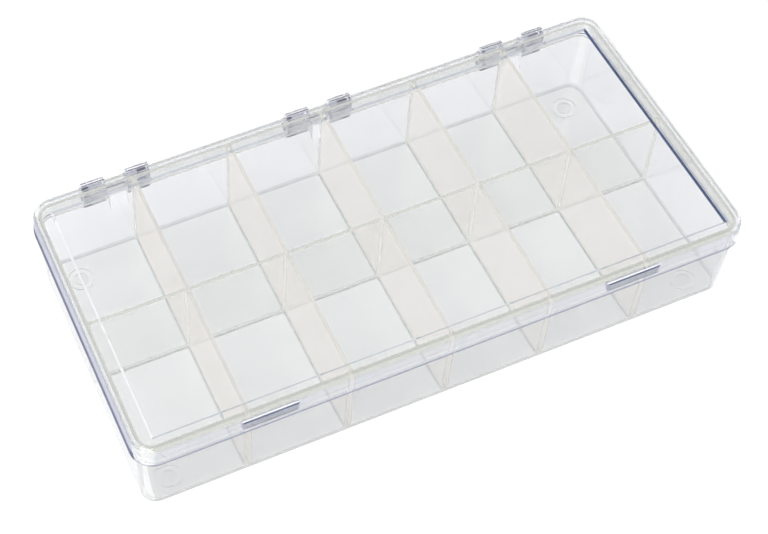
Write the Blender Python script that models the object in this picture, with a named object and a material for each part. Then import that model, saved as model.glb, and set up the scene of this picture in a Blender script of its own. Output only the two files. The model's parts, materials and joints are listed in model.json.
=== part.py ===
"""Clear hinged parts sorting tray: a tray moulded in one with its dividers, and its snap-on lid.

World frame: X runs along the tray, the hinges are on the +Y side, Z is up.
The origin is on the table, under the middle of the whole outline, hinges included.
All constants are in millimetres and MM turns them into metres. Lengths along Y are measured
from the middle of the storage space, and SPACE_CENTRE_Y places that middle in the world.
"""

import math

import bmesh
import bpy
from mathutils import Matrix, Vector

MM = 0.001
GAP = 0.3  # air between two pieces that touch on the real object

# Storage space, measured at the rim
SPACE_HALF_X = 84.8
SPACE_HALF_Y = 39.0
SPACE_CORNER = 3.5
SPACE_DEPTH = 27.3
WALL_DRAFT = 0.5  # the walls lean in by this much from rim to floor

# Tray
FOOT_HEIGHT = 0.6
FLOOR_THICKNESS = 1.5
WALL_THICKNESS = 1.6
TONGUE_THICKNESS = 1.0  # thinner top of the wall that the lid's skirt hides
OUTER_DRAFT = 0.9  # the outside leans in by this much from ledge to base
BOTTOM_FILLET = 1.2
FLOOR_FILLET = 0.5
EDGE_ROUNDING = 0.3
FOOT_RADIUS = 3.5
FOOT_DIMPLE_RADIUS = 2.0
FOOT_DIMPLE_DEPTH = 0.4
FOOT_SINK = 0.5  # how far a foot reaches up into the floor
FOOT_X = 77.0
FOOT_Y = 32.0

FLOOR_Z = FOOT_HEIGHT + FLOOR_THICKNESS
RIM_Z = FLOOR_Z + SPACE_DEPTH

# Cells, two rows of six, parted by dividers moulded in one with the tray
CELL_PITCH = 28.5
CELL_COLUMNS = 6
CELL_ROWS = 2
DIVIDER_TOP_THICKNESS = 1.0
DIVIDER_DRAFT = 0.2  # each face of a divider leans out by this much from top to floor
CELL_CORNER = 0.6  # upright corners where a divider meets a wall or another divider
CELL_EDGE = 0.2  # rounding along the tops of the dividers and the rim's inside
CELL_CORNER_STEPS = 3

# Lid
SKIRT_THICKNESS = 1.0
SKIRT_DRAFT = 0.4  # the skirt leans out by this much from top to bottom
SKIRT_INSIDE = TONGUE_THICKNESS + GAP
SKIRT_OUTSIDE = SKIRT_INSIDE + SKIRT_THICKNESS
LID_UNDERSIDE_Z = RIM_Z + GAP
LID_THICKNESS = 1.4
LID_TOP_Z = LID_UNDERSIDE_Z + LID_THICKNESS
LID_FILLET = 1.0
SKIRT_BOTTOM_Z = 24.0
LEDGE_Z = SKIRT_BOTTOM_Z - GAP
PANEL_HALF_X = 82.2
PANEL_FRONT_Y = 38.0  # the border is narrower at the front than along the hinges
PANEL_BACK_Y = 36.4
PANEL_DEPTH = 0.5
PANEL_SLOPE = 0.8

# Finger tabs, two short lips on the front of the skirt
TAB_CENTRE_X = 51.7
TAB_LENGTH = 15.5
TAB_REACH = 0.9
TAB_ROUNDING = 0.5
TAB_BOTTOM_Z = 26.8
TAB_TOP_Z = 29.4
TAB_SINK = 0.3  # how far a tab reaches into the skirt

# Snap hinges
HINGE_X = (-61.5, 0.0, 61.5)
AXIS_Y = 43.5
AXIS_Z = 22.6
ROD_RADIUS = 1.0
ROD_HALF_LENGTH = 9.6
HOOK_RADIUS = 2.4
HOOK_INNER_X = 3.2
HOOK_OUTER_X = 9.8
HOOK_MOUTH_BOTTOM = math.radians(-130)
HOOK_MOUTH_TOP = math.radians(160)
HOOK_BACK_START = math.radians(25)  # where the arm's straight back meets the hook's round
HOOK_OUTER_STEPS = 16
HOOK_BORE_STEPS = 24
ARM_TOP_Z = 30.2
ARM_REACH = 1.9  # how far the arm's top stands behind the skirt
ARM_ROUNDING = 1.1
ARM_SINK = 0.4  # how far a hook's arm reaches into the skirt
BRACKET_HALF_WIDTH = 2.6
BRACKET_RADIUS = 1.7
BRACKET_FOOT_Z = 16.5
BRACKET_SINK = 0.5  # how far a bracket reaches into the wall
NOTCH_CLEARANCE = 0.35
NOTCH_TOP_CLEARANCE = 0.7

OUTLINE_FRONT_Y = -(SPACE_HALF_Y + SKIRT_OUTSIDE + TAB_REACH)
OUTLINE_BACK_Y = AXIS_Y + HOOK_RADIUS
SPACE_CENTRE_Y = -(OUTLINE_FRONT_Y + OUTLINE_BACK_Y) / 2

CORNER_STEPS = 6
ARC_STEPS = 4
ROUND_STEPS = 32
SHARP_ANGLE = math.radians(35)  # edges steeper than this stay crisp
CUT_MARGIN = 1.0  # how far a cutting shape runs past the surface it opens


def clear_scene():
    """Remove whatever the scene holds."""
    for item in list(bpy.data.objects):
        bpy.data.objects.remove(item, do_unlink=True)


def clear_plastic(name, colour):
    """One piece's own clear styrene material."""
    material = bpy.data.materials.new(name)
    material.use_nodes = True
    shader = material.node_tree.nodes["Principled BSDF"]
    shader.inputs["Base Color"].default_value = (*colour, 1.0)
    shader.inputs["Roughness"].default_value = 0.06
    shader.inputs["Metallic"].default_value = 0.0
    shader.inputs["IOR"].default_value = 1.59
    shader.inputs["Transmission Weight"].default_value = 0.9
    return material


def in_world(point):
    """A point in millimetres from the middle of the storage space, as world metres."""
    return (Vector(point) + Vector((0.0, SPACE_CENTRE_Y, 0.0))) * MM


def add_object(name, mesh_data):
    """Turn millimetre bmesh data into an object that stands in its place in the world."""
    for vert in mesh_data.verts:
        vert.co = in_world(vert.co)
    bmesh.ops.recalc_face_normals(mesh_data, faces=mesh_data.faces)
    mesh = bpy.data.meshes.new(name)
    mesh_data.to_mesh(mesh)
    mesh_data.free()
    item = bpy.data.objects.new(name, mesh)
    bpy.context.scene.collection.objects.link(item)
    return item


def finish(item, material):
    """Give a piece its material and smooth its rounded surfaces."""
    item.data.materials.clear()
    item.data.materials.append(material)
    item.data.shade_smooth()
    item.data.set_sharp_from_angle(angle=SHARP_ANGLE)


def arc(centre, radius, start, end, steps):
    """Points along an arc, both ends included."""
    points = []
    for i in range(steps + 1):
        angle = start + (end - start) * i / steps
        points.append((centre[0] + radius * math.cos(angle), centre[1] + radius * math.sin(angle)))
    return points


def outline(offset):
    """The rounded rectangle that lies the given distance outside the storage space."""
    radius = SPACE_CORNER + offset
    across = SPACE_HALF_X + offset - radius
    along = SPACE_HALF_Y + offset - radius
    points = []
    for quarter, (sign_x, sign_y) in enumerate(((1, 1), (-1, 1), (-1, -1), (1, -1))):
        start = quarter * math.pi / 2
        centre = (sign_x * across, sign_y * along)
        points += arc(centre, radius, start, start + math.pi / 2, CORNER_STEPS)
    return points


def add_loft(mesh_data, sections):
    """Skin the closed outlines given as (points, z) pairs and close the first and the last one."""
    loops = [[mesh_data.verts.new((x, y, z)) for x, y in points] for points, z in sections]
    for lower, upper in zip(loops, loops[1:]):
        for i, vert in enumerate(lower):
            following = (i + 1) % len(lower)
            mesh_data.faces.new((vert, lower[following], upper[following], upper[i]))
    mesh_data.faces.new(loops[0])
    mesh_data.faces.new(loops[-1])


def add_box(mesh_data, low, high):
    """A closed box between two corners."""
    centre = (Vector(low) + Vector(high)) / 2
    size = Vector(high) - Vector(low)
    verts = bmesh.ops.create_cube(mesh_data, size=1.0)["verts"]
    for vert in verts:
        vert.co = Vector(a * b for a, b in zip(vert.co, size)) + centre


def add_prism(mesh_data, points, axis, low, high):
    """Extrude a closed outline along one axis (0, 1 or 2) between two positions."""
    def place(point, position):
        coordinates = list(point)
        coordinates.insert(axis, position)
        return coordinates

    near = [mesh_data.verts.new(place(point, low)) for point in points]
    far = [mesh_data.verts.new(place(point, high)) for point in points]
    for i, vert in enumerate(near):
        following = (i + 1) % len(near)
        mesh_data.faces.new((vert, near[following], far[following], far[i]))
    mesh_data.faces.new(near)
    mesh_data.faces.new(far)


def apply_boolean(target, tool_data, operation):
    """Join a helper shape to a piece, or cut it away, and remove the helper."""
    tool = add_object("tool", tool_data)
    tool.hide_render = True
    tool.display_type = "WIRE"
    modifier = target.modifiers.new(operation.title(), "BOOLEAN")
    modifier.operation = operation
    modifier.solver = "EXACT"
    modifier.object = tool
    graph = bpy.context.evaluated_depsgraph_get()
    result = bpy.data.meshes.new_from_object(target.evaluated_get(graph))
    target.modifiers.clear()
    target.data = result
    bpy.data.objects.remove(tool, do_unlink=True)


def tray_sections():
    """The tray's outside, from its base round the bottom edge and up to the rim."""
    base_offset = WALL_THICKNESS - OUTER_DRAFT
    bottom = arc((base_offset - BOTTOM_FILLET, FOOT_HEIGHT + BOTTOM_FILLET), BOTTOM_FILLET,
                 -math.pi / 2, 0.0, ARC_STEPS)
    rim = [
        (WALL_THICKNESS, LEDGE_Z),
        (TONGUE_THICKNESS, LEDGE_Z),
        (TONGUE_THICKNESS, RIM_Z - EDGE_ROUNDING),
        (TONGUE_THICKNESS - EDGE_ROUNDING, RIM_Z),
    ]
    return [(outline(offset), z) for offset, z in bottom + rim]


def cell_sides(half_size, count):
    """The low and high side of each cell in a row, each as (position, lean in down to the floor)."""
    half_divider = DIVIDER_TOP_THICKNESS / 2
    cells = []
    for i in range(count):
        low = ((i - count / 2) * CELL_PITCH + half_divider, DIVIDER_DRAFT)
        high = ((i + 1 - count / 2) * CELL_PITCH - half_divider, DIVIDER_DRAFT)
        if i == 0:
            low = (-half_size, WALL_DRAFT)
        if i == count - 1:
            high = (half_size, WALL_DRAFT)
        cells.append((low, high))
    return cells


def cell_profile():
    """Down a cell's side from above the rim to the floor, as (growth, share of the lean, z)."""
    edge = arc((CELL_EDGE, RIM_Z - CELL_EDGE), CELL_EDGE, math.pi / 2, math.pi, ARC_STEPS)
    toe = arc((-FLOOR_FILLET, FLOOR_Z + FLOOR_FILLET), FLOOR_FILLET, 0.0, -math.pi / 2, ARC_STEPS)
    levels = [(CELL_EDGE, 0.0, RIM_Z + CUT_MARGIN)]
    levels += [(growth, 0.0, z) for growth, z in edge]
    levels += [(growth, 1.0, z) for growth, z in toe]
    return levels


def cell_outline(low, high, radii):
    """A rectangle between two corners, with a radius for each corner in turn from (+X, +Y)."""
    corners = ((high[0], high[1]), (low[0], high[1]), (low[0], low[1]), (high[0], low[1]))
    inward = ((-1, -1), (1, -1), (1, 1), (-1, 1))
    points = []
    for quarter, ((x, y), (turn_x, turn_y), radius) in enumerate(zip(corners, inward, radii)):
        start = quarter * math.pi / 2
        steps = CORNER_STEPS if radius > CELL_CORNER else CELL_CORNER_STEPS
        centre = (x + turn_x * radius, y + turn_y * radius)
        points += arc(centre, radius, start, start + math.pi / 2, steps)
    return points


def corner_radii(column, row):
    """A cell's four upright corner radii: large only where it fills a corner of the tray."""
    at_sides = (column == CELL_COLUMNS - 1, column == 0, column == 0, column == CELL_COLUMNS - 1)
    at_ends = (row == CELL_ROWS - 1, row == CELL_ROWS - 1, row == 0, row == 0)
    return [SPACE_CORNER if side and end else CELL_CORNER for side, end in zip(at_sides, at_ends)]


def add_cell(mesh_data, sides_x, sides_y, radii):
    """The space inside one cell, leaning in to a rounded floor."""
    sections = []
    for growth, share, z in cell_profile():
        low = [low_side[0] + low_side[1] * share - growth for low_side, _ in (sides_x, sides_y)]
        high = [high_side[0] - high_side[1] * share + growth for _, high_side in (sides_x, sides_y)]
        sections.append((cell_outline(low, high, radii), z))
    add_loft(mesh_data, sections)


def circle_points(centre, radius):
    """A circle without its repeated last point."""
    return arc(centre, radius, 0.0, 2 * math.pi, ROUND_STEPS)[:-1]


def foot_centres():
    """The four feet's places."""
    return [(sx * FOOT_X, sy * FOOT_Y) for sx in (-1, 1) for sy in (-1, 1)]


def convex_outline(points):
    """The convex hull of points in a plane, in order."""
    ordered = sorted(set(points))

    def chain(sequence):
        kept = []
        for point in sequence:
            while len(kept) > 1:
                (ax, ay), (bx, by) = kept[-2], kept[-1]
                if (bx - ax) * (point[1] - ay) - (by - ay) * (point[0] - ax) > 0:
                    break
                kept.pop()
            kept.append(point)
        return kept[:-1]

    return chain(ordered) + chain(reversed(ordered))


def bracket_outline():
    """Side view of the arm that carries a hinge rod, root sunk in the wall."""
    root_y = SPACE_HALF_Y + TONGUE_THICKNESS - BRACKET_SINK
    root = [(root_y, BRACKET_FOOT_Z), (root_y, AXIS_Z + BRACKET_RADIUS)]
    return convex_outline(root + circle_points((AXIS_Y, AXIS_Z), BRACKET_RADIUS))


def build_tray():
    """The tray with its cells, feet, hinge brackets and hinge rods."""
    body = bmesh.new()
    add_loft(body, tray_sections())
    tray = add_object("base_tray", body)

    cells = bmesh.new()
    for column, sides_x in enumerate(cell_sides(SPACE_HALF_X, CELL_COLUMNS)):
        for row, sides_y in enumerate(cell_sides(SPACE_HALF_Y, CELL_ROWS)):
            add_cell(cells, sides_x, sides_y, corner_radii(column, row))
    apply_boolean(tray, cells, "DIFFERENCE")

    feet = bmesh.new()
    dimples = bmesh.new()
    for centre in foot_centres():
        add_prism(feet, circle_points(centre, FOOT_RADIUS), 2, 0.0, FOOT_HEIGHT + FOOT_SINK)
        add_prism(dimples, circle_points(centre, FOOT_DIMPLE_RADIUS), 2, -CUT_MARGIN, FOOT_DIMPLE_DEPTH)
    apply_boolean(tray, feet, "UNION")
    apply_boolean(tray, dimples, "DIFFERENCE")

    brackets = bmesh.new()
    rods = bmesh.new()
    for x in HINGE_X:
        add_prism(brackets, bracket_outline(), 0, x - BRACKET_HALF_WIDTH, x + BRACKET_HALF_WIDTH)
        circle = circle_points((AXIS_Y, AXIS_Z), ROD_RADIUS)
        add_prism(rods, circle, 0, x - ROD_HALF_LENGTH, x + ROD_HALF_LENGTH)
    apply_boolean(tray, brackets, "UNION")
    apply_boolean(tray, rods, "UNION")
    finish(tray, clear_plastic("tray styrene", (0.86, 0.88, 0.82)))


def lid_sections():
    """The lid's shell, down the skirt's inside, round its edge and up to the top."""
    shoulder = arc((SKIRT_OUTSIDE - LID_FILLET, LID_TOP_Z - LID_FILLET), LID_FILLET,
                   0.0, math.pi / 2, ARC_STEPS)
    inside = [
        (SKIRT_INSIDE - EDGE_ROUNDING, LID_UNDERSIDE_Z),
        (SKIRT_INSIDE, LID_UNDERSIDE_Z - EDGE_ROUNDING),
        (SKIRT_INSIDE + SKIRT_DRAFT, SKIRT_BOTTOM_Z),
        (SKIRT_OUTSIDE + SKIRT_DRAFT, SKIRT_BOTTOM_Z),
    ]
    return [(outline(offset), z) for offset, z in inside + shoulder]


def add_panel_cutter(mesh_data):
    """The shallow square-cornered recess in the lid's top, with sloping sides."""
    levels = ((PANEL_SLOPE, LID_TOP_Z + PANEL_DEPTH), (-PANEL_SLOPE, LID_TOP_Z - PANEL_DEPTH))
    rings = []
    for grow, z in levels:
        half_x = PANEL_HALF_X + grow
        front = -PANEL_FRONT_Y - grow
        back = PANEL_BACK_Y + grow
        corners = ((half_x, back), (-half_x, back), (-half_x, front), (half_x, front))
        rings.append([mesh_data.verts.new((x, y, z)) for x, y in corners])
    for i in range(4):
        following = (i + 1) % 4
        mesh_data.faces.new((rings[0][i], rings[0][following], rings[1][following], rings[1][i]))
    mesh_data.faces.new(rings[0])
    mesh_data.faces.new(rings[1])


def tab_outline(centre_x):
    """Plan view of a finger tab: a lip with rounded ends, root sunk in the skirt's front."""
    face = -(SPACE_HALF_Y + SKIRT_OUTSIDE)
    middle_y = face - TAB_REACH + TAB_ROUNDING
    root = face + TAB_SINK
    low = centre_x - TAB_LENGTH / 2
    high = centre_x + TAB_LENGTH / 2
    near = arc((low + TAB_ROUNDING, middle_y), TAB_ROUNDING, math.pi, 1.5 * math.pi, ARC_STEPS)
    far = arc((high - TAB_ROUNDING, middle_y), TAB_ROUNDING, -math.pi / 2, 0.0, ARC_STEPS)
    return [(low, root)] + near + far + [(high, root)]


def hook_outline():
    """Side view of a hook: an arm down from the lid's edge that wraps the hinge rod."""
    skirt_face = SPACE_HALF_Y + SKIRT_OUTSIDE
    root_y = skirt_face - ARM_SINK
    centre = (AXIS_Y, AXIS_Z)
    shoulder = arc((skirt_face + ARM_REACH - ARM_ROUNDING, ARM_TOP_Z - ARM_ROUNDING), ARM_ROUNDING,
                   math.pi / 2, 0.0, ARC_STEPS)
    outer = arc(centre, HOOK_RADIUS, HOOK_BACK_START, HOOK_MOUTH_BOTTOM, HOOK_OUTER_STEPS)
    inner = arc(centre, ROD_RADIUS + GAP, HOOK_MOUTH_BOTTOM, HOOK_MOUTH_TOP, HOOK_BORE_STEPS)
    chin_z = AXIS_Z + HOOK_RADIUS * math.sin(HOOK_MOUTH_TOP)
    return [(root_y, ARM_TOP_Z)] + shoulder + outer + inner + [(root_y, chin_z)]


def build_lid():
    """The lid with its recessed panel, finger tabs and hinge hooks."""
    shell = bmesh.new()
    add_loft(shell, lid_sections())
    lid = add_object("lid", shell)

    panel = bmesh.new()
    add_panel_cutter(panel)
    apply_boolean(lid, panel, "DIFFERENCE")

    tabs = bmesh.new()
    for side in (-1, 1):
        add_prism(tabs, tab_outline(side * TAB_CENTRE_X), 2, TAB_BOTTOM_Z, TAB_TOP_Z)
    apply_boolean(lid, tabs, "UNION")

    hooks = bmesh.new()
    notches = bmesh.new()
    back = SPACE_HALF_Y + SKIRT_OUTSIDE
    for x in HINGE_X:
        for side in (-1, 1):
            ends = sorted((x + side * HOOK_INNER_X, x + side * HOOK_OUTER_X))
            add_prism(hooks, hook_outline(), 0, ends[0], ends[1])
        half = BRACKET_HALF_WIDTH + NOTCH_CLEARANCE
        notch_top = AXIS_Z + BRACKET_RADIUS + NOTCH_TOP_CLEARANCE
        low = (x - half, back - 2 * SKIRT_THICKNESS, SKIRT_BOTTOM_Z - CUT_MARGIN)
        add_box(notches, low, (x + half, back + CUT_MARGIN, notch_top))
    apply_boolean(lid, hooks, "UNION")
    apply_boolean(lid, notches, "DIFFERENCE")

    axis = in_world((0.0, AXIS_Y, AXIS_Z))
    lid.data.transform(Matrix.Translation(-axis))
    lid.location = axis
    finish(lid, clear_plastic("lid styrene", (0.88, 0.89, 0.93)))


clear_scene()
build_tray()
build_lid()
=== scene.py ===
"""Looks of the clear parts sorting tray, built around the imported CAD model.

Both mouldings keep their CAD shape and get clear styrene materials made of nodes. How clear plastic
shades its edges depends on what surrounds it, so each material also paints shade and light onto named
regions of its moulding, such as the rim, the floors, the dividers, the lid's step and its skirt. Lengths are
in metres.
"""

import json
import math

import bpy
from mathutils import Matrix, Vector


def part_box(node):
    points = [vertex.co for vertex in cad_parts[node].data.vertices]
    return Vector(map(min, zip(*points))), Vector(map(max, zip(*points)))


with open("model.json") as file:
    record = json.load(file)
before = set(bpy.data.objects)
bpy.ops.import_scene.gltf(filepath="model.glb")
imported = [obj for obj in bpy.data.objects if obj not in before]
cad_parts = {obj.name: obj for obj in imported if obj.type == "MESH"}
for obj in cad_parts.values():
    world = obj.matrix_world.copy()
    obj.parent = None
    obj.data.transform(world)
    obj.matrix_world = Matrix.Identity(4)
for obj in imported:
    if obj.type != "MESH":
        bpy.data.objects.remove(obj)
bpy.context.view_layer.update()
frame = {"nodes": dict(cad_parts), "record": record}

STYRENE_IOR = 1.59
SHARP_ANGLE = math.radians(30)
WELD_DISTANCE = 1e-6
FLAT_FACE_WEIGHT = 100

# Camera, a shift lens that looks down on the front left corner
CAMERA_PLACE = Vector((-0.15057, -0.25882, 0.44829))
CAMERA_RIGHT = Vector((0.92713, -0.37313, -0.03468))
CAMERA_FORWARD = Vector((0.22005, 0.61697, -0.75560))
CAMERA_LENS = 88.75
CAMERA_SHIFT = (0.2825, -0.3070)
PLACE_TOLERANCE = 0.0001

# Studio: white all round, dimmer in mirrored light, with one grey panel where the lid's top mirrors it
FLOOR_HALF = 3.0
KEY_POWER = 19.0
KEY_PLACE = (-0.9, -0.7, 1.5)
KEY_SIZE = (1.2, 1.2)
PANEL_DIRECTION = Vector((0.22, 0.617, 0.756))
PANEL_COLOUR = (0.12, 0.12, 0.165, 1.0)
PANEL_EDGE = (0.35, 0.65)  # cosines of the angle from the panel's middle, where white ends and grey begins
STUDIO_WHITE = (1.9, 1.9, 1.9, 1.0)
MIRRORED_WHITE = (0.95, 0.95, 0.97, 1.0)
PAPER_FIBRE_SCALE = 400.0
PAPER_WHITES = (0.93, 0.95)

# The plastic, and the light inside it
TRAY_COLOUR = (0.985, 0.985, 0.975)
LID_COLOUR = (0.985, 0.988, 0.995)
STREAK_SHADE = 0.985
TRAY_GLOW = (0.80, 0.81, 0.76)
LID_GLOW = (0.50, 0.53, 0.62)
TRAY_HAZE = 0.012
LID_HAZE = 0.008
HAZE_COLOUR = (0.9, 0.9, 0.9, 1.0)
TRAY_FLOW = (1.0, 2.5, 1.0)  # how much finer the flow waves are along each axis
LID_FLOW = (1.0, 3.0, 1.0)
FLOW_SCALE = 26.0
FLOW_HEIGHT = 0.00004
SCUFF_SCALE = 900.0
ROUGHNESS_RANGE = (0.015, 0.07)
TRAPPED_DEPTH = 2.5  # inner reflections after which light counts as trapped
SHADOW_TINT = (0.965, 0.968, 0.965, 1.0)

# Places on the mouldings. Distances outwards start at the outside of the tray's wall.
TRAY_LOW, TRAY_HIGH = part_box("base_tray")
LID_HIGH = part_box("lid")[1]
MOUNTS = {mount["name"]: mount["pos_m"] for mount in frame["record"]["mounts"]}
AXIS = Vector(frame["record"]["behaviour"]["joints"][0]["pos_m"])
MIDDLE_Y = MOUNTS["lid_panel"][1]
PANEL_Z = MOUNTS["lid_panel"][2]
HALF_X = TRAY_HIGH.x
HALF_Y = MIDDLE_Y - TRAY_LOW.y
RIM_Z = TRAY_HIGH.z
WALL_INSIDE = -0.0022
WALL_OUTSIDE = -0.0012
BOTTOM_FILLET_Z = 0.0018
RIM_DEPTH = 0.0004
RIM_SIDE_DEPTH = 0.0032
FLOOR_TOP_Z = 0.00212
TOE_TOP_Z = 0.00258
FRONT_TOE_END_Y = MIDDLE_Y - HALF_Y + 0.0028
BASE_Z = 0.0006
FOOT_TOP_Z = 0.0005
STEP_OUTSIDE = -0.002
STEP_BOTTOM_Z = PANEL_Z + 0.00006
STEP_TOP_Z = PANEL_Z + 0.00046
BORDER_INSIDE = -0.0009
SKIRT_INSIDE = -0.0006
SKIRT_FACE = 0.0006
SKIRT_BOTTOM_Z = LID_HIGH.z - 0.0071
SKIRT_EDGE_Z = SKIRT_BOTTOM_Z + 0.0004
SIDE_EDGE_Z = SKIRT_BOTTOM_Z + 0.0028
SKIRT_LINES_Z = (SKIRT_BOTTOM_Z + 0.0030, SKIRT_BOTTOM_Z + 0.0055)
SKIRT_LINE_WIDTH = 0.00025
SKIRT_BACK_Y = MIDDLE_Y + HALF_Y + 0.0012
TAB_BACK_Y = MIDDLE_Y - HALF_Y - 0.00115
TAB_Z = (0.0265, 0.0295)
HINGE_PITCH = 0.0615
BRACKET_END = 0.0027
ROD_TOP_Y = (AXIS.y - 0.0004, AXIS.y + 0.0006)
ROD_TOP_Z = AXIS.z + 0.0005
HOOK_ARM_X = (0.0045, 0.0075)
HOOK_TOP_Z = AXIS.z + 0.005
HOOK_LIP_Z = AXIS.z - 0.0012
HOOK_CORNER_X = 0.0072

# Slopes, as parts of the unit normal
UPRIGHT_SLOPE = 0.3
SIDE_FACE_SLOPE = 0.35
CORNER_SLOPE = (0.55, 0.9)
ACROSS_SLOPE = 0.9
STEP_SLOPE = 0.1
HOOK_TOP_SLOPE = (0.7, 0.95)

# Painted shade: darker tints for how light crosses the plastic in each region, one for each crossing of the
# surface
# painted shade: floors a little darker, toes darker where walls and dividers meet the floor, and darker rings
# and bottoms on the feet
FLOOR_PAINTED_SHADE = (0.968, 0.972, 0.965)
TOE_PAINTED_SHADE = (0.50, 0.53, 0.53)
FRONT_TOE_PAINTED_SHADE = (0.86, 0.87, 0.87)
FOOT_RING_PAINTED_SHADE = (0.42, 0.45, 0.47)
FOOT_PAINTED_SHADE = (0.88, 0.89, 0.88)
# painted shade: the walls, the outer walls darker to camera rays only, and bluish at their corners
WALL_PAINTED_SHADE = (0.92, 0.92, 0.935)
OUTER_WALL_PAINTED_SHADE = (0.57, 0.575, 0.585)
WALL_CORNER_PAINTED_SHADE = (0.45, 0.47, 0.58)
# painted shade: an olive band on the rim, and dimmer rim sides and divider tops
RIM_PAINTED_SHADE = (0.89, 0.895, 0.865)
RIM_SIDE_PAINTED_SHADE = (0.97, 0.97, 0.935)
DIVIDER_TOP_PAINTED_SHADE = (0.975, 0.975, 0.94)
# painted shade: the top of the hinge rod near black
ROD_PAINTED_SHADE = (0.02, 0.03, 0.10)
# painted shade: the lid's border, and the lines of its step, navy on the right and grey in front and at the
# back
BORDER_PAINTED_SHADE = (0.91, 0.915, 0.895)
STEP_PAINTED_SHADES = {"right": (0.01, 0.02, 0.08), "front": (0.45, 0.50, 0.54), "back": (0.55, 0.60, 0.68)}
# painted shade on the lid's skirt, with thin painted reflections across it and a dark bottom edge
SKIRT_PAINTED_SHADE = (0.75, 0.76, 0.81)
SKIRT_INSIDE_PAINTED_SHADE = (0.95, 0.955, 0.97)
SKIRT_LINE_PAINTED_SHADE = (0.60, 0.62, 0.70)
SKIRT_EDGE_PAINTED_SHADE = (0.16, 0.18, 0.34)
# painted shade: the lid's tabs dark
TAB_PAINTED_SHADE = (0.02, 0.03, 0.08)
TAB_FACE_PAINTED_SHADE = (0.28, 0.30, 0.37)
# painted shade: the hinge hooks' tops, lips and corners
HOOK_TOP_PAINTED_SHADE = (0.35, 0.36, 0.38)
HOOK_LIP_PAINTED_SHADE = (0.50, 0.52, 0.60)
HOOK_CORNER_PAINTED_SHADE = (0.02, 0.03, 0.12)

# Places with painted light and painted shade, as emission that looks the same at any angle, given as a colour
# and its share of the surface
# painted light on the dividers' faces, and a painted highlight on the lid's step
DIVIDER_PAINTED_LIGHT = ((0.97, 0.91, 0.86), 0.24)
STEP_PAINTED_HIGHLIGHT = ((1.02, 1.02, 1.05), 0.4)
# painted shade: grey on the tray's bottom round, dark on the lid's sides
BOTTOM_PAINTED_SHADE = ((0.70, 0.71, 0.74), 0.7)
SIDE_EDGE_PAINTED_SHADE = ((0.06, 0.07, 0.18), 0.75)
SIDE_FACE_PAINTED_SHADE = ((0.50, 0.50, 0.66), 0.5)


def add_node(tree, kind, **inputs):
    """A node of the given kind with some of its inputs set. Underscores in a name stand for spaces."""
    node = tree.nodes.new(kind)
    for name, value in inputs.items():
        node.inputs[name.replace("_", " ")].default_value = value
    return node


def add_maths(tree, operation, *values):
    """A Math node on sockets or numbers."""
    node = tree.nodes.new("ShaderNodeMath")
    node.operation = operation
    for slot, value in zip(node.inputs, values):
        if isinstance(value, float):
            slot.default_value = value
        else:
            tree.links.new(value, slot)
    return node.outputs["Value"]


class Regions:
    """Masks over a moulding, sockets that are 1 inside a region and 0 outside it."""

    def __init__(self, tree):
        self.tree = tree
        place = add_node(tree, "ShaderNodeTexCoord")
        geometry = add_node(tree, "ShaderNodeNewGeometry")
        rays = add_node(tree, "ShaderNodeLightPath")
        self.place = place.outputs["Object"]
        self.x, self.y, self.z = self.split(place.outputs["Object"])
        self.slope_x, self.slope_y, self.slope_z = self.split(place.outputs["Normal"])
        self.from_outside = self.outside(geometry.outputs["Backfacing"])
        self.seen_directly = rays.outputs["Is Camera Ray"]
        self.reach_x = self.maths("ABSOLUTE", self.x)
        reach_y = self.maths("ABSOLUTE", self.maths("SUBTRACT", self.y, MIDDLE_Y))
        past_x = self.maths("SUBTRACT", self.reach_x, HALF_X)
        past_y = self.maths("SUBTRACT", reach_y, HALF_Y)
        self.outward = self.maths("MAXIMUM", past_x, past_y)
        self.upright = self.between(self.slope_z, -UPRIGHT_SLOPE, UPRIGHT_SLOPE)

    def split(self, vector):
        """The three parts of a vector."""
        parts = add_node(self.tree, "ShaderNodeSeparateXYZ")
        self.tree.links.new(vector, parts.inputs["Vector"])
        return parts.outputs

    def maths(self, operation, *values):
        """A Math node on sockets or numbers, in this moulding's material."""
        return add_maths(self.tree, operation, *values)

    def above(self, field, limit):
        """Where a field is over a limit."""
        return self.maths("GREATER_THAN", field, limit)

    def below(self, field, limit):
        """Where a field is under a limit."""
        return self.maths("LESS_THAN", field, limit)

    def between(self, field, low, high):
        """Where a field lies between two limits."""
        return self.both(self.above(field, low), self.below(field, high))

    def both(self, first, *others):
        """Where every given mask holds."""
        for other in others:
            first = self.maths("MULTIPLY", first, other)
        return first

    def outside(self, mask):
        """Where a mask doesn't hold."""
        return self.maths("SUBTRACT", 1.0, mask)

    def from_hinge(self):
        """Distance along X from the nearest of the three hinges' middles."""
        outer = self.maths("ABSOLUTE", self.maths("SUBTRACT", self.reach_x, HINGE_PITCH))
        return self.maths("MINIMUM", self.reach_x, outer)


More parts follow.
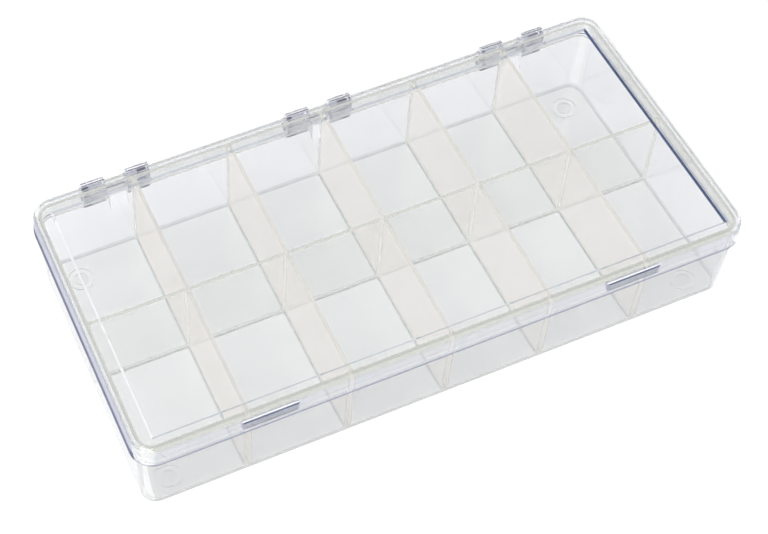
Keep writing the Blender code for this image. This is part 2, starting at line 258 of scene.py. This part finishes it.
def tray_regions(at):
    """The tray's painted shade as (mask, tint), and its painted light and painted shade given as emission, as
    (mask, (colour, share)).
    """
    wall = at.above(at.outward, WALL_INSIDE)
    within = at.outside(wall)
    outer_wall = at.both(at.above(at.outward, WALL_OUTSIDE), at.below(at.z, SKIRT_BOTTOM_Z), at.seen_directly)
    rim = at.above(at.z, RIM_Z - RIM_DEPTH)
    rim_side = at.between(at.z, RIM_Z - RIM_SIDE_DEPTH, RIM_Z - RIM_DEPTH)
    front = at.below(at.y, FRONT_TOE_END_Y)
    toe = at.between(at.z, FLOOR_TOP_Z, TOE_TOP_Z)
    rod_top = at.both(at.between(at.y, *ROD_TOP_Y), at.above(at.z, ROD_TOP_Z))
    # painted shade over the tray's regions
    painted_shades = [
        (wall, WALL_PAINTED_SHADE),
        (outer_wall, OUTER_WALL_PAINTED_SHADE),
        (at.both(outer_wall, at.between(at.slope_x, *CORNER_SLOPE)), WALL_CORNER_PAINTED_SHADE),
        (at.below(at.z, FLOOR_TOP_Z), FLOOR_PAINTED_SHADE),
        (at.both(toe, at.outside(front)), TOE_PAINTED_SHADE),
        (at.both(toe, front), FRONT_TOE_PAINTED_SHADE),
        (at.both(at.below(at.z, BASE_Z), at.upright, within), FOOT_RING_PAINTED_SHADE),
        (at.below(at.z, FOOT_TOP_Z), FOOT_PAINTED_SHADE),
        (at.both(rim, within), DIVIDER_TOP_PAINTED_SHADE),
        (at.both(rim, wall), RIM_PAINTED_SHADE),
        (at.both(wall, rim_side), RIM_SIDE_PAINTED_SHADE),
        (at.both(rod_top, at.below(at.from_hinge(), BRACKET_END)), ROD_PAINTED_SHADE),
    ]
    across = at.above(at.maths("ABSOLUTE", at.slope_x), ACROSS_SLOPE)
    divider = at.both(across, within, at.between(at.z, TOE_TOP_Z, RIM_Z - RIM_DEPTH))
    # painted light on the dividers' faces, and painted shade on the bottom round of the outer walls
    painted_light_and_shade = [
        (divider, DIVIDER_PAINTED_LIGHT),
        (at.both(outer_wall, at.below(at.z, BOTTOM_FILLET_Z)), BOTTOM_PAINTED_SHADE),
    ]
    return painted_shades, painted_light_and_shade


def lid_regions(at):
    """The lid's painted shade as (mask, tint), and its painted highlight and painted shade given as emission,
    as (mask, (colour, share)).
    """
    border = at.both(at.between(at.outward, BORDER_INSIDE, SKIRT_FACE), at.above(at.slope_z, UPRIGHT_SLOPE))
    step = at.both(at.below(at.outward, STEP_OUTSIDE), at.between(at.z, STEP_BOTTOM_Z, STEP_TOP_Z))
    behind = at.above(at.y, SKIRT_BACK_Y)
    skirt = at.both(at.upright, at.above(at.outward, SKIRT_INSIDE), at.outside(behind))
    near_face = at.both(skirt, at.above(at.outward, SKIRT_FACE), at.from_outside)
    side_face = at.both(near_face, at.above(at.maths("ABSOLUTE", at.slope_x), SIDE_FACE_SLOPE))
    tab = at.both(at.below(at.y, TAB_BACK_Y), at.between(at.z, *TAB_Z))
    from_hinge = at.from_hinge()
    hook_top = at.both(behind, at.between(at.slope_z, *HOOK_TOP_SLOPE), at.above(at.z, HOOK_TOP_Z))
    lip = at.both(behind, at.below(at.z, HOOK_LIP_Z))
    # painted shade over the lid's regions
    painted_shades = [
        (border, BORDER_PAINTED_SHADE),
        (at.both(step, at.below(at.slope_x, -STEP_SLOPE)), STEP_PAINTED_SHADES["right"]),
        (at.both(step, at.above(at.slope_y, STEP_SLOPE)), STEP_PAINTED_SHADES["front"]),
        (at.both(step, at.below(at.slope_y, -STEP_SLOPE)), STEP_PAINTED_SHADES["back"]),
        (skirt, SKIRT_INSIDE_PAINTED_SHADE),
        (near_face, SKIRT_PAINTED_SHADE),
        (at.both(near_face, at.below(at.z, SKIRT_EDGE_Z)), SKIRT_EDGE_PAINTED_SHADE),
        (at.both(tab, at.outside(at.upright)), TAB_PAINTED_SHADE),
        (at.both(tab, at.upright), TAB_FACE_PAINTED_SHADE),
        (at.both(hook_top, at.between(from_hinge, *HOOK_ARM_X)), HOOK_TOP_PAINTED_SHADE),
        (lip, HOOK_LIP_PAINTED_SHADE),
        (at.both(lip, at.above(from_hinge, HOOK_CORNER_X)), HOOK_CORNER_PAINTED_SHADE),
    ]
    # thin painted reflections across the skirt's near face
    for low in SKIRT_LINES_Z:
        line = at.both(near_face, at.between(at.z, low, low + SKIRT_LINE_WIDTH))
        painted_shades.append((line, SKIRT_LINE_PAINTED_SHADE))
    side_edge = at.both(side_face, at.below(at.z, SIDE_EDGE_Z))
    # a painted highlight on the step's left slope, and painted shade on the side faces of the skirt
    painted_light_and_shade = [
        (at.both(step, at.above(at.slope_x, STEP_SLOPE)), STEP_PAINTED_HIGHLIGHT),
        (at.both(side_face, at.outside(side_edge)), SIDE_FACE_PAINTED_SHADE),
        (side_edge, SIDE_EDGE_PAINTED_SHADE),
    ]
    return painted_shades, painted_light_and_shade


def clear_styrene(name, tint, glow, haze, flow_axis, regions):
    """Clear moulded plastic with flow waviness, fine scuffs, a soft haze, and painted shade and painted light
    on named regions.
    """
    material = bpy.data.materials.new(name)
    material.use_nodes = True
    tree = material.node_tree
    tree.nodes.clear()
    link = tree.links.new
    at = Regions(tree)

    stretch = add_node(tree, "ShaderNodeMapping", Scale=flow_axis)
    link(at.place, stretch.inputs["Vector"])
    flow = add_node(tree, "ShaderNodeTexNoise", Scale=FLOW_SCALE, Detail=3.0, Roughness=0.45)
    link(stretch.outputs["Vector"], flow.inputs["Vector"])
    scuffs = add_node(tree, "ShaderNodeTexNoise", Scale=SCUFF_SCALE, Detail=5.0, Roughness=0.6)
    link(at.place, scuffs.inputs["Vector"])
    smoothest, roughest = ROUGHNESS_RANGE
    roughness = add_node(tree, "ShaderNodeMapRange", From_Min=0.45, From_Max=0.75)
    roughness.inputs["To Min"].default_value = smoothest
    roughness.inputs["To Max"].default_value = roughest
    link(scuffs.outputs["Fac"], roughness.inputs["Value"])

    shade = add_node(tree, "ShaderNodeValToRGB")
    shade.color_ramp.elements[0].position = 0.35
    shade.color_ramp.elements[0].color = (*(channel * STREAK_SHADE for channel in tint), 1.0)
    shade.color_ramp.elements[1].position = 0.65
    shade.color_ramp.elements[1].color = (*tint, 1.0)
    link(flow.outputs["Fac"], shade.inputs["Fac"])
    colour = shade.outputs["Color"]
    painted_shades, painted_light_and_shade = regions(at)
    # painted shade: each region's tint darkens the colour
    for mask, painted_tint in painted_shades:
        colour = blended(tree, "MULTIPLY", colour, (*painted_tint, 1.0), mask)

    waviness = add_node(tree, "ShaderNodeBump", Strength=0.25, Distance=FLOW_HEIGHT)
    link(flow.outputs["Fac"], waviness.inputs["Height"])
    glass = add_node(tree, "ShaderNodeBsdfPrincipled", Transmission_Weight=1.0, IOR=STYRENE_IOR)
    link(colour, glass.inputs["Base Color"])
    link(roughness.outputs["Result"], glass.inputs["Roughness"])
    link(waviness.outputs["Normal"], glass.inputs["Normal"])

    cloud = add_node(tree, "ShaderNodeBsdfDiffuse", Color=HAZE_COLOUR)
    surface = mixed(tree, glass.outputs["BSDF"], cloud.outputs["BSDF"], haze)
    # painted light and painted shade: emission mixed over the surface
    for mask, (painted_colour, share) in painted_light_and_shade:
        painted_emission = add_node(tree, "ShaderNodeEmission", Color=(*painted_colour, 1.0))
        surface = mixed(tree, surface, painted_emission.outputs["Emission"], at.maths("MULTIPLY", mask, share))

    rays = add_node(tree, "ShaderNodeLightPath")
    trapped = at.above(rays.outputs["Glossy Depth"], TRAPPED_DEPTH)
    lit_inside = add_node(tree, "ShaderNodeEmission", Color=(*glow, 1.0))
    surface = mixed(tree, surface, lit_inside.outputs["Emission"], trapped)

    shadow_or_bounce = at.maths("MAXIMUM", rays.outputs["Is Shadow Ray"], rays.outputs["Is Diffuse Ray"])
    through = add_node(tree, "ShaderNodeBsdfTransparent", Color=SHADOW_TINT)
    surface = mixed(tree, surface, through.outputs["BSDF"], shadow_or_bounce)

    output = add_node(tree, "ShaderNodeOutputMaterial")
    link(surface, output.inputs["Surface"])
    return material


def blended(tree, method, base, colour, mask):
    """A colour blended over a base where the mask holds."""
    blend = tree.nodes.new("ShaderNodeMix")
    blend.data_type = "RGBA"
    blend.blend_type = method
    tree.links.new(mask, blend.inputs["Factor"])
    tree.links.new(base, blend.inputs["A"])
    blend.inputs["B"].default_value = colour
    return blend.outputs["Result"]


def mixed(tree, first, second, share):
    """A share of the second shader over the first one."""
    blend = tree.nodes.new("ShaderNodeMixShader")
    if isinstance(share, float):
        blend.inputs["Fac"].default_value = share
    else:
        tree.links.new(share, blend.inputs["Fac"])
    tree.links.new(first, blend.inputs[1])
    tree.links.new(second, blend.inputs[2])
    return blend.outputs["Shader"]


def smoothing_group():
    """Node group that closes the mesh's split corners and smooths every edge flatter than the sharp angle."""
    group = bpy.data.node_groups.new("smooth_rounds", "GeometryNodeTree")
    group.interface.new_socket("Geometry", in_out="INPUT", socket_type="NodeSocketGeometry")
    group.interface.new_socket("Geometry", in_out="OUTPUT", socket_type="NodeSocketGeometry")
    link = group.links.new
    source = group.nodes.new("NodeGroupInput")
    result = group.nodes.new("NodeGroupOutput")

    closed = add_node(group, "GeometryNodeMergeByDistance", Distance=WELD_DISTANCE)
    bare = add_node(group, "GeometryNodeRemoveAttribute", Name="custom_normal")
    faces = add_node(group, "GeometryNodeSetShadeSmooth", Shade_Smooth=True)
    faces.domain = "FACE"
    angle = group.nodes.new("GeometryNodeInputMeshEdgeAngle")
    gentle = add_node(group, "FunctionNodeCompare", B=SHARP_ANGLE)
    gentle.operation = "LESS_THAN"
    edges = group.nodes.new("GeometryNodeSetShadeSmooth")
    edges.domain = "EDGE"

    link(source.outputs["Geometry"], closed.inputs["Geometry"])
    link(closed.outputs["Geometry"], bare.inputs["Geometry"])
    link(bare.outputs["Geometry"], faces.inputs["Geometry"])
    link(faces.outputs["Geometry"], edges.inputs["Geometry"])
    link(angle.outputs["Unsigned Angle"], gentle.inputs["A"])
    link(gentle.outputs["Result"], edges.inputs["Shade Smooth"])
    link(edges.outputs["Geometry"], result.inputs["Geometry"])
    return group


def dress_node(node, material, smoothing):
    """Give a CAD node its material, and smooth its rounds while its flat faces stay flat."""
    node.data.materials.clear()
    node.data.materials.append(material)
    rounds = node.modifiers.new("Rounds", "NODES")
    rounds.node_group = smoothing
    flats = node.modifiers.new("Flats", "WEIGHTED_NORMAL")
    flats.keep_sharp = True
    flats.weight = FLAT_FACE_WEIGHT


def floor_material():
    """Matt white backdrop paper with a faint fibre texture."""
    material = bpy.data.materials.new("backdrop_paper")
    material.use_nodes = True
    tree = material.node_tree
    paper = tree.nodes["Principled BSDF"]
    paper.inputs["Roughness"].default_value = 0.9
    paper.inputs["Specular IOR Level"].default_value = 0.1
    fibre = add_node(tree, "ShaderNodeTexNoise", Scale=PAPER_FIBRE_SCALE, Detail=4.0)
    darkest, lightest = PAPER_WHITES
    shade = add_node(tree, "ShaderNodeMapRange", To_Min=darkest, To_Max=lightest)
    tree.links.new(fibre.outputs["Fac"], shade.inputs["Value"])
    tree.links.new(shade.outputs["Result"], paper.inputs["Base Color"])
    return material


def add_floor():
    """A pale floor under the tray."""
    mesh = bpy.data.meshes.new("floor")
    corners = [(-FLOOR_HALF, -FLOOR_HALF, 0.0), (FLOOR_HALF, -FLOOR_HALF, 0.0),
               (FLOOR_HALF, FLOOR_HALF, 0.0), (-FLOOR_HALF, FLOOR_HALF, 0.0)]
    mesh.from_pydata(corners, [], [(0, 1, 2, 3)])
    mesh.materials.append(floor_material())
    floor = bpy.data.objects.new("floor", mesh)
    bpy.context.scene.collection.objects.link(floor)


def add_softbox(name, place, size, power):
    """An area light that faces the tray."""
    light = bpy.data.lights.new(name, "AREA")
    light.shape = "RECTANGLE"
    light.size, light.size_y = size
    light.energy = power
    lamp = bpy.data.objects.new(name, light)
    lamp.location = place
    lamp.rotation_euler = (-Vector(place)).to_track_quat("-Z", "Y").to_euler()
    bpy.context.scene.collection.objects.link(lamp)


def add_world():
    """A white studio. The grey panel shows in mirrored and scattered light, but not behind the object."""
    world = bpy.data.worlds.new("studio")
    world.use_nodes = True
    tree = world.node_tree
    link = tree.links.new
    place = add_node(tree, "ShaderNodeTexCoord")
    towards_panel = tree.nodes.new("ShaderNodeVectorMath")
    towards_panel.operation = "DOT_PRODUCT"
    towards_panel.inputs[1].default_value = PANEL_DIRECTION
    link(place.outputs["Generated"], towards_panel.inputs[0])
    surroundings = add_node(tree, "ShaderNodeValToRGB")
    stops = surroundings.color_ramp.elements
    for stop, position, colour in zip(stops, PANEL_EDGE, (STUDIO_WHITE, PANEL_COLOUR)):
        stop.position = position
        stop.color = colour
    link(towards_panel.outputs["Value"], surroundings.inputs["Fac"])

    rays = add_node(tree, "ShaderNodeLightPath").outputs
    more_mirrored = add_maths(tree, "SUBTRACT", rays["Glossy Depth"], rays["Diffuse Depth"])
    mirrored = add_maths(tree, "GREATER_THAN", more_mirrored, 0.5)
    straight = add_maths(tree, "MAXIMUM", rays["Is Camera Ray"], rays["Is Transmission Ray"])
    bounces = add_maths(tree, "ADD", rays["Diffuse Depth"], rays["Glossy Depth"])
    no_bounce = add_maths(tree, "LESS_THAN", bounces, 0.5)
    behind_object = add_maths(tree, "MULTIPLY", straight, no_bounce)
    dimmed = blended(tree, "DARKEN", surroundings.outputs["Color"], MIRRORED_WHITE, mirrored)
    backdrop = blended(tree, "MIX", dimmed, STUDIO_WHITE, behind_object)
    link(backdrop, tree.nodes["Background"].inputs["Color"])
    bpy.context.scene.world = world


def add_camera():
    """The camera that looks down over the front left corner."""
    back = -CAMERA_FORWARD.normalized()
    right = CAMERA_RIGHT.normalized()
    up = back.cross(right)
    turn = Matrix((right, up, back)).transposed()
    camera = bpy.data.cameras.new("camera")
    camera.lens = CAMERA_LENS
    viewer = bpy.data.objects.new("camera", camera)
    viewer.matrix_world = Matrix.Translation(CAMERA_PLACE) @ turn.to_4x4()
    bpy.context.scene.collection.objects.link(viewer)
    bpy.context.scene.camera = viewer
    for setting, shift in zip(("shift_x", "shift_y"), CAMERA_SHIFT):
        shift_at_place(viewer, setting, shift)


def shift_at_place(viewer, setting, shift):
    """Shift the lens only while the camera stands at its own place, so that other views stay centred."""
    driver = viewer.data.driver_add(setting).driver
    place = driver.variables.new()
    place.name = "place"
    place.type = "TRANSFORMS"
    place.targets[0].id = viewer
    place.targets[0].transform_type = "LOC_X"
    driver.expression = f"{shift} if abs(place - {CAMERA_PLACE.x:.5f}) < {PLACE_TOLERANCE} else 0.0"


def set_light_transport():
    """Enough bounces for light to cross every clear wall in the tray."""
    cycles = bpy.context.scene.cycles
    cycles.max_bounces = 24
    cycles.transmission_bounces = 24
    cycles.glossy_bounces = 8
    cycles.transparent_max_bounces = 48
    bpy.context.scene.view_settings.view_transform = "Standard"


smoothing = smoothing_group()
tray_look = clear_styrene("tray_styrene", TRAY_COLOUR, TRAY_GLOW, TRAY_HAZE, TRAY_FLOW, tray_regions)
lid_look = clear_styrene("lid_styrene", LID_COLOUR, LID_GLOW, LID_HAZE, LID_FLOW, lid_regions)
dress_node(frame["nodes"]["base_tray"], tray_look, smoothing)
dress_node(frame["nodes"]["lid"], lid_look, smoothing)
add_floor()
add_softbox("key", KEY_PLACE, KEY_SIZE, KEY_POWER)
add_world()
add_camera()
set_light_transport()
